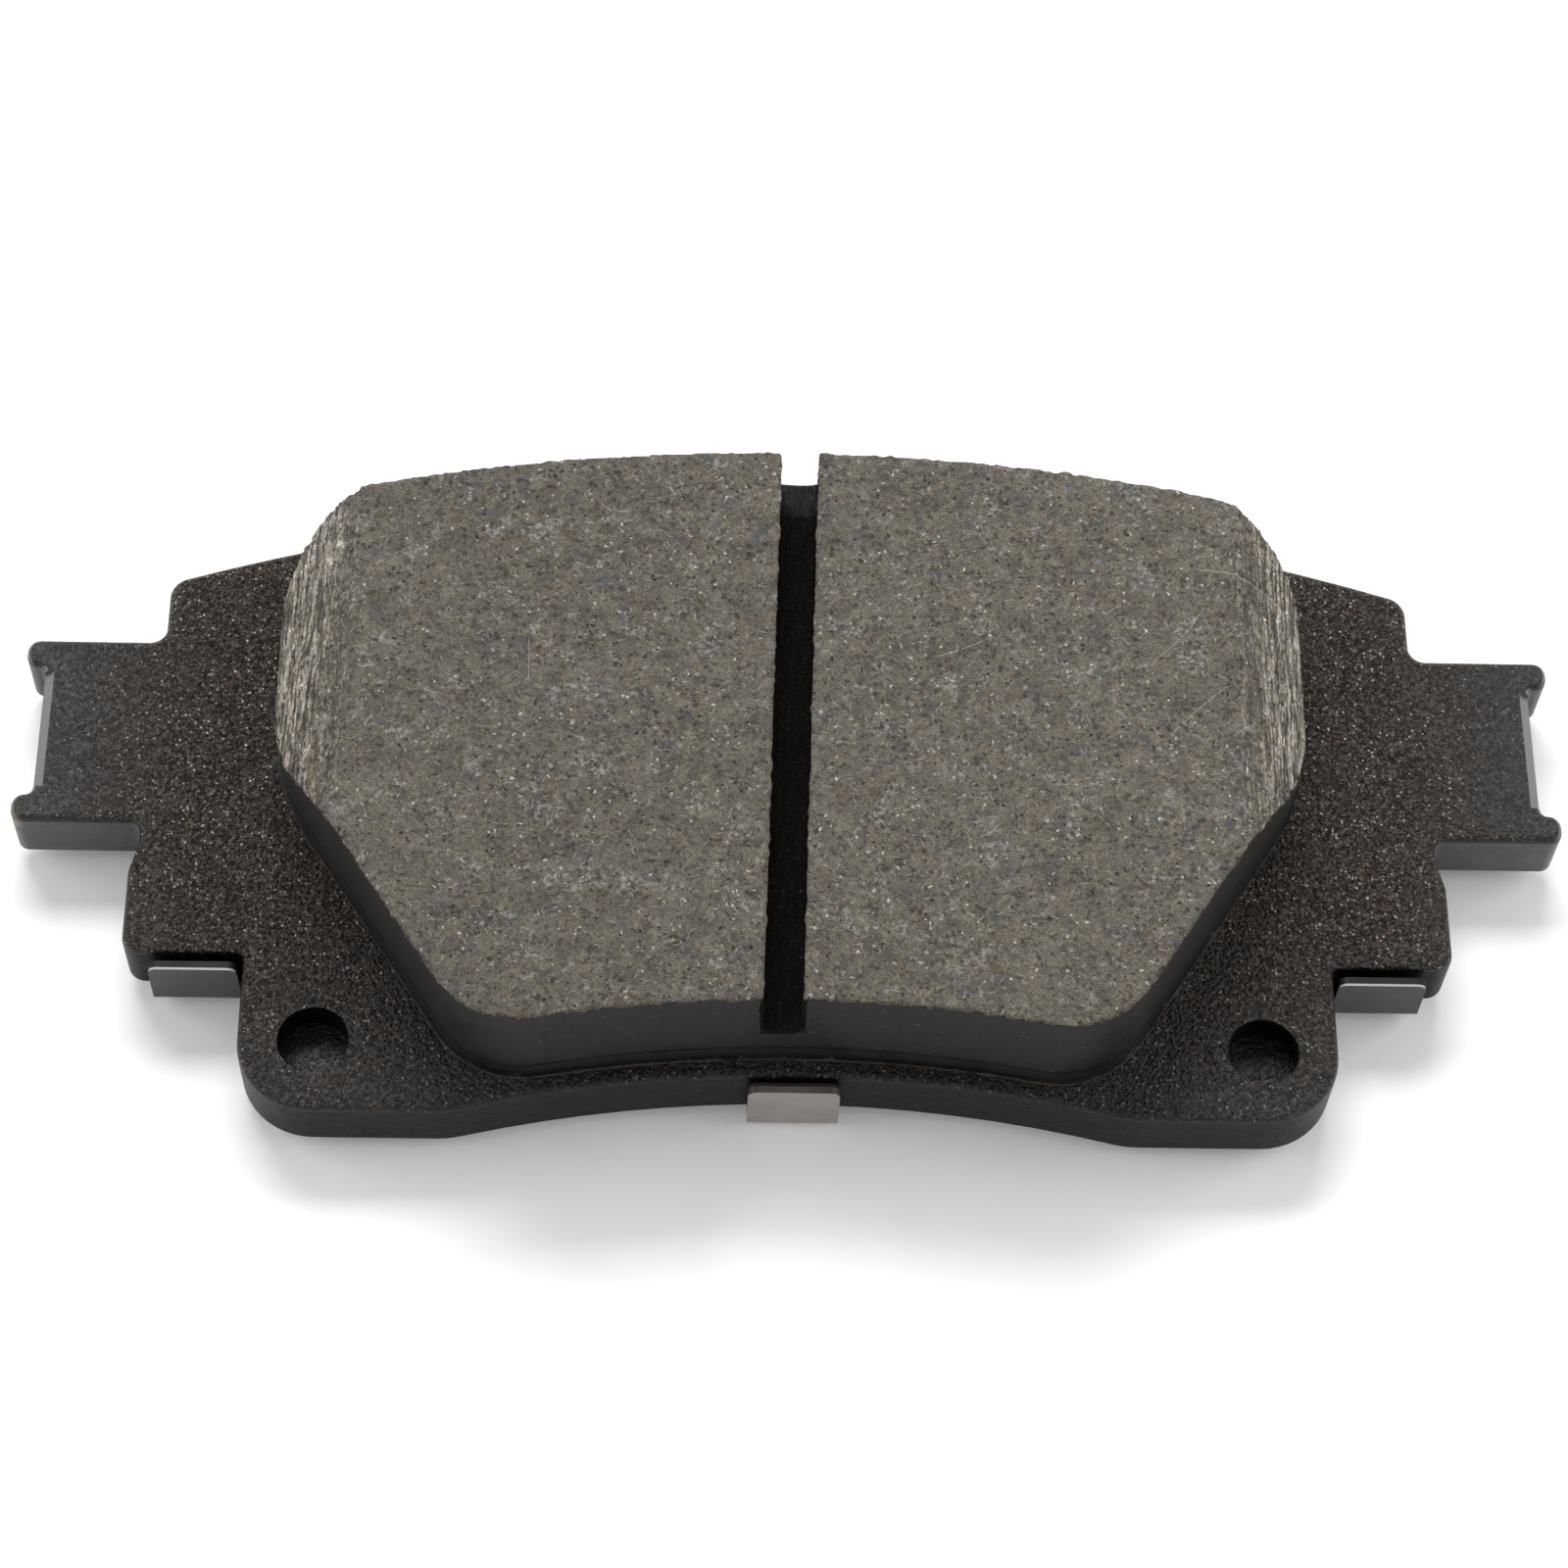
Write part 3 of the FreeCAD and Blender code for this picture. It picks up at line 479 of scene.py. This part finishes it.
def powder_side(name, dark, light, specular):
    """Smoother coat on the stamped edges and the back."""
    n = Nodes(name)
    haze = n.noise(3.5, 4.0, 0.6, 4.0)
    ripple = n.noise(1.3, 3.0, 0.6, 22.0)
    fine = n.noise(0.25, 3.0, 0.65, 12.0)
    colour = n.ramp(haze, [(0.3, dark), (0.7, light)])
    colour = n.shade(colour, n.ramp(fine, [(0.3, 0.75), (0.7, 1.35)]))
    height = n.plus(n.times(ripple, 0.8), n.times(fine, 0.25))
    rough = n.ramp(fine, [(0.3, 0.36), (0.7, 0.5)])
    return n.finish(worn_tip(n, colour), rough, n.bump(height, 0.1), specular=specular)


def toned(colour, factor):
    return tuple(channel * factor for channel in colour)


def coat_rubber(name, colour, roughness, highlight_above=None):
    """Rubber coat, with a painted highlight of light grey on upward edges above a given height in
    millimetres.
    """
    n = Nodes(name)
    fine = n.noise(0.2, 2.0, 0.6, 8.0)
    rough = n.ramp(fine, [(0.3, roughness - 0.06), (0.7, roughness + 0.06)])
    tint = n.ramp(n.noise(3.0, 3.0, 0.6, 6.0), [(0.3, toned(colour, 0.85)), (0.7, toned(colour, 1.15))])
    if highlight_above is not None:
        # painted highlight: upward edges high on the coat are painted light grey
        top = n.step(n.position()[2], highlight_above, highlight_above + 0.2)
        edge = n.times(top, n.step(n.facing()[2], 0.4, 0.7))
        tint = n.stain(tint, edge, 0.9, (0.42, 0.41, 0.4))
    return n.finish(tint, rough, n.bump(fine, 0.008), specular=0.35)


def sheet_steel(name, colour, roughness):
    """Bare sheet brushed along X."""
    n = Nodes(name)
    brush = n.noise(0.12, 3.0, 0.6, vector=n.stretched((0.05, 1.0, 1.0), offset=(3.0, 5.0, 7.0)))
    tint = n.ramp(n.noise(2.5, 3.0, 0.6, 6.0), [(0.3, toned(colour, 0.9)), (0.7, toned(colour, 1.08))])
    tint = n.shade(tint, n.ramp(brush, [(0.3, 0.92), (0.7, 1.08)]))
    rough = n.ramp(brush, [(0.3, roughness - 0.05), (0.7, roughness + 0.08)])
    return n.finish(tint, rough, n.bump(brush, 0.006), metallic=1.0)


# ---------------------------------------------------------------- friction block
def grind_place(x, y):
    """Distance from the ground centre line, which leans GRIND_ANGLE about the ears' middle."""
    return x * math.cos(GRIND_ANGLE) - (y - EAR_Y) * math.sin(GRIND_ANGLE)


def rows_of(items, attribute):
    """An attribute of three numbers, one row for each item of a mesh."""
    flat = np.empty(len(items) * 3)
    items.foreach_get(attribute, flat)
    return flat.reshape(-1, 3)


def store_vertices(mesh, places):
    mesh.vertices.foreach_set("co", (places * MM).astype(np.float32).ravel())
    mesh.update()


def noise_at(points, size, seed):
    """Fractal noise about 0 at each point, features about size millimetres."""
    octaves = 3
    shift = Vector((seed * 7.3, seed * 3.1, seed * 5.7))
    return np.array([noise.fractal(Vector(p) / size + shift, 1.0, 2.0, octaves) for p in points])


def remeshed(name, source, voxel):
    """A fine even copy of a CAD node's mesh."""
    piece = bpy.data.objects.new(name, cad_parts[source].data.copy())
    bpy.context.scene.collection.objects.link(piece)
    modifier = piece.modifiers.new("even", "REMESH")
    modifier.mode = "VOXEL"
    modifier.voxel_size = voxel * MM
    graph = bpy.context.evaluated_depsgraph_get()
    mesh = bpy.data.meshes.new_from_object(piece.evaluated_get(graph))
    piece.modifiers.clear()
    piece.data = mesh
    return piece


def sharp_edge_points(source, spacing, least_turn, lowest):
    """(point, outward) every spacing millimetres along a CAD node's sharp edges, above lowest."""
    work = bmesh.new()
    work.from_mesh(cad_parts[source].data)
    bmesh.ops.remove_doubles(work, verts=work.verts, dist=0.002 * MM)
    points = []
    for edge in work.edges:
        if len(edge.link_faces) != 2 or edge.calc_face_angle_signed(0.0) < least_turn:
            continue
        a, b = [v.co / MM for v in edge.verts]
        outward = (edge.link_faces[0].normal + edge.link_faces[1].normal).normalized()
        count = max(1, int((b - a).length / spacing))
        for number in range(count):
            point = a.lerp(b, (number + 0.5) / count)
            if point.z > lowest:
                points.append((point, outward))
    work.free()
    return points


def tree_of(places):
    tree = KDTree(len(places))
    for index, place in enumerate(places):
        tree.insert(place, index)
    tree.balance()
    return tree


def carve(places, balls):
    """Push the points that lie inside a ball out to its surface: each ball leaves a dent."""
    tree = tree_of(places)
    for centre, radius in balls:
        for _, index, _ in tree.find_range(centre, radius + 0.6):
            arm = Vector(places[index]) - centre
            if arm.length < radius:
                places[index] = centre + arm.normalized() * radius


def swell(places, crumbs):
    """Raise small crumbs: each is (centre, outward, radius, height)."""
    tree = tree_of(places)
    for centre, outward, radius, height in crumbs:
        for _, index, distance in tree.find_range(centre, radius):
            places[index] += np.array(outward) * height * (1 - (distance / radius) ** 2)


def roughen(places, normals):
    """Give each region of the block its own texture, and close the block's base into the layer below."""
    y, z = places[:, 1], places[:, 2]
    level = normals[:, 2]
    across = grind_place(places[:, 0], y)
    from_centre = np.abs(across)
    on_face = (level > 0.92) & (z > FACE_Z - 0.2)
    on_chamfer = (level > 0.5) & (level < 0.92) & (from_centre > CHAMFER_START - 0.3)
    in_slot = (from_centre < SLOT_HALF + 0.15) & (z > SLOT_FLOOR - 0.3) & (z < FACE_Z - 0.25)
    slot_floor = in_slot & (z < SLOT_FLOOR + 0.3)
    base = z < block_low.z + 0.4
    side = ~(on_face | on_chamfer | in_slot | base)

    grooves = noise_at(np.column_stack((across / 0.42, y / 9.0, z * 0)), 1.0, 2)
    bulge = np.clip((from_centre - CHAMFER_START) / CHAMFER_WIDTH, 0, 1)
    convex = 0.3 * np.sin(math.pi * bulge) - 0.12 * np.exp(-(bulge / 0.08) ** 2)
    amount = np.zeros(len(places))
    amount += np.where(on_face, 0.03 * noise_at(places, 0.9, 1), 0)
    amount += np.where(on_chamfer, 0.09 * grooves + 0.1 * noise_at(places, 0.7, 5) + convex, 0)
    amount += np.where(in_slot, 0.05 * noise_at(places, 0.9, 3), 0)
    amount += np.where(side, 0.05 * noise_at(places, 3.0, 4), 0)
    places += normals * amount[:, None]

    lip = np.clip((places[:, 1] - (block_high.y - LIP_LENGTH)) / LIP_LENGTH, 0, 1) ** 2
    places[:, 2] += np.where(slot_floor, LIP_HEIGHT * lip, 0)
    sunk = places[:, 2] < block_low.z + 0.2
    places[:, 2] -= np.where(sunk, 0.3, 0)
    places[:, :2] -= normals[:, :2] * np.where(sunk, 0.06, 0)[:, None]


def chips_and_crumbs():
    """Balls that bite chips out of the block's sharp edges, and crumbs that stand out of them."""
    rng = random.Random(11)
    balls = []
    crumbs = []
    for point, outward in sharp_edge_points("friction_block", 0.3, math.radians(50), block_low.z + 1.0):
        jitter = Vector([rng.uniform(-0.15, 0.15) for _ in range(3)])
        chance = rng.random()
        if chance < 0.4:  # a shallow chip
            radius = rng.uniform(0.25, 0.6)
            balls.append((point + outward * (radius - rng.uniform(0.0, 0.1)) + jitter, radius))
        elif chance < 0.43:  # a deep chip
            radius = rng.uniform(0.4, 0.7)
            balls.append((point + outward * (radius - rng.uniform(0.1, 0.24)) + jitter, radius))
        elif chance < 0.6:
            sideways = Vector((outward.x, outward.y, 0.2 * outward.z)).normalized()
            crumbs.append((point + jitter, sideways, rng.uniform(0.3, 0.7), rng.uniform(0.04, 0.15)))
    for middle, spread, count, least, most in CHIP_CLUSTERS:
        for _ in range(count):
            place = Vector(middle) + Vector([rng.gauss(0, s) for s in spread])
            balls.append((place, rng.uniform(least, most)))
    return balls, crumbs


def finish_block_faces(mesh):
    """Pick each face's finish by where it lies: 0 friction face, 1 end chamfers, 2 sides, 3 slot."""
    mesh.materials.clear()
    sides = moulded_side("moulded_friction_side")
    for material in (friction_face(), friction_chamfer(), sides, cut_slot()):
        mesh.materials.append(material)
    centres = rows_of(mesh.polygons, "center") / MM
    level = rows_of(mesh.polygons, "normal")[:, 2]
    z = centres[:, 2]
    from_centre = np.abs(grind_place(centres[:, 0], centres[:, 1]))
    finishes = np.full(len(centres), 2, dtype=np.int32)
    finishes[(level > 0.3) & (z > FACE_Z - 0.7)] = 0
    finishes[(level > 0.25) & (from_centre > CHAMFER_START - 0.05)] = 1
    finishes[(from_centre < SLOT_HALF + 0.25) & (z > SLOT_FLOOR - 0.5) & (z < FACE_Z - 0.3)] = 3
    mesh.polygons.foreach_set("material_index", finishes)
    mesh.polygons.foreach_set("use_smooth", np.ones(len(centres), dtype=bool))


def build_friction_block():
    voxel = 0.25
    block = remeshed("friction_lining", "friction_block", voxel)
    places = rows_of(block.data.vertices, "co") / MM
    roughen(places, rows_of(block.data.vertex_normals, "vector"))
    balls, crumbs = chips_and_crumbs()
    swell(places, crumbs)
    carve(places, balls)
    store_vertices(block.data, places)
    finish_block_faces(block.data)
    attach(block, "pad")
    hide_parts("friction_block")


build_friction_block()


# ---------------------------------------------------------------- backing plate
def plate_finish(middle, normal):
    """0 on the front, its rolled edge, the bevels and the holes, 2 on the ear edges painted lighter as
    painted light, else 1.
    """
    rolled = normal.z > 0.12 and middle.z > PLATE_Z - ROLLED_EDGE
    bevelled = normal.z > 0.3 and abs(middle.x) > BEVEL_X
    to_hole = math.hypot(abs(middle.x) - HOLE_X, middle.y - HOLE_Y)
    bored = middle.z > PLATE_Z - HOLE_DEPTH and to_hole < HOLE_REACH
    if rolled or bevelled or bored:
        return 0
    on_ear = abs(middle.x) > EAR_X and abs(middle.y - EAR_Y) < EAR_HALF
    return 2 if on_ear and abs(normal.z) < 0.5 else 1


def build_plate():
    """The plate's own shape with separate finishes on its front, stamped edges and ear edges, the last
    painted lighter as painted light.
    """
    plate = bpy.data.objects.new("coated_plate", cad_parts["backing_plate"].data.copy())
    bpy.context.scene.collection.objects.link(plate)
    mesh = plate.data
    mesh.materials.clear()
    edge = powder_side("coated_edge", (0.004, 0.004, 0.004), (0.009, 0.0088, 0.0086), 0.12)
    # painted light: the ear edges are painted light bluish grey, a painted reflection of the bright
    # floor in front of them
    ear_edge = powder_side("ear_edge_painted_light", (0.07, 0.07, 0.075), (0.1, 0.1, 0.106), 0.3)
    for material in (powder_front(), edge, ear_edge):
        mesh.materials.append(material)
    for polygon in mesh.polygons:
        polygon.material_index = plate_finish(polygon.center / MM, polygon.normal)
    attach(plate, "pad")
    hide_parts("backing_plate")


build_plate()


# ---------------------------------------------------------------- CAD nodes that keep their shape
def dress(node, material):
    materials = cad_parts[node].data.materials
    if not materials:
        materials.append(material)
    for index in range(len(materials)):
        materials[index] = material


dress("underlayer", moulded_side("moulded_underlayer", flash_base=PLATE_Z))
# painted shade: the steel core is painted near black, standing in for the shade in the gap behind the
# tabs' tops
dress("inner_shim_core", sheet_steel("shim_core_steel", (0.03, 0.029, 0.029), 0.6))
rubber = coat_rubber("shim_rubber_coat", (0.058, 0.058, 0.063), 0.42, highlight_above=6.3)
dress("inner_shim_front_coat", rubber)
dress("inner_shim_back_coat", rubber)
dress("outer_shim", sheet_steel("stainless_shim", (0.41, 0.37, 0.355), 0.36))
dress("outer_shim_liner", coat_rubber("shim_rubber_liner", (0.02, 0.02, 0.02), 0.6))


# ---------------------------------------------------------------- floor, light and camera, in metres
def build_floor():
    half = 3.0
    corners = [(-half, -half, 0), (half, -half, 0), (half, half, 0), (-half, half, 0)]
    mesh = bpy.data.meshes.new("floor")
    mesh.from_pydata(corners, [], [(0, 1, 2, 3)])
    floor = bpy.data.objects.new("floor", mesh)
    bpy.context.scene.collection.objects.link(floor)
    paper = Nodes("pale_floor")
    paper.shader.inputs["Emission Color"].default_value = (1, 1, 1, 1)
    paper.shader.inputs["Emission Strength"].default_value = 0.14
    mesh.materials.append(paper.finish((0.9, 0.9, 0.9), 0.75, specular=0.2))


def light_room():
    """Even white light from all round."""
    world = bpy.data.worlds.new("studio")
    bpy.context.scene.world = world
    world.use_nodes = True
    background = world.node_tree.nodes["Background"]
    background.inputs["Color"].default_value = (1, 1, 1, 1)
    background.inputs["Strength"].default_value = 0.33


def softbox(name, place, size, power):
    """A rectangular lamp aimed at the pad."""
    light = bpy.data.lights.new(name, "AREA")
    light.shape = "RECTANGLE"
    light.size, light.size_y = size
    light.energy = power
    lamp = bpy.data.objects.new(name, light)
    bpy.context.scene.collection.objects.link(lamp)
    lamp.location = place
    lamp.rotation_euler = (-Vector(place)).to_track_quat("-Z", "Y").to_euler()


def place_camera():
    data = bpy.data.cameras.new("camera")
    data.sensor_width = 36.0
    data.lens = 90.0
    data.clip_start = 0.01
    camera = bpy.data.objects.new("camera", data)
    bpy.context.scene.collection.objects.link(camera)
    camera.location = (-0.0083, -0.16068, 0.29892)
    camera.rotation_euler = [math.radians(angle) for angle in (28.96, -1.588, 0.101)]
    bpy.context.scene.camera = camera


build_floor()
light_room()
softbox("key_back", (-0.08, 0.5, 0.62), (0.55, 0.25), 5.6)
softbox("left_side", (-0.6, 0.05, 0.35), (0.5, 0.4), 1.8)
softbox("right_side", (0.6, 0.05, 0.35), (0.5, 0.4), 2.2)
place_camera()
bpy.context.scene.view_settings.view_transform = "Standard"
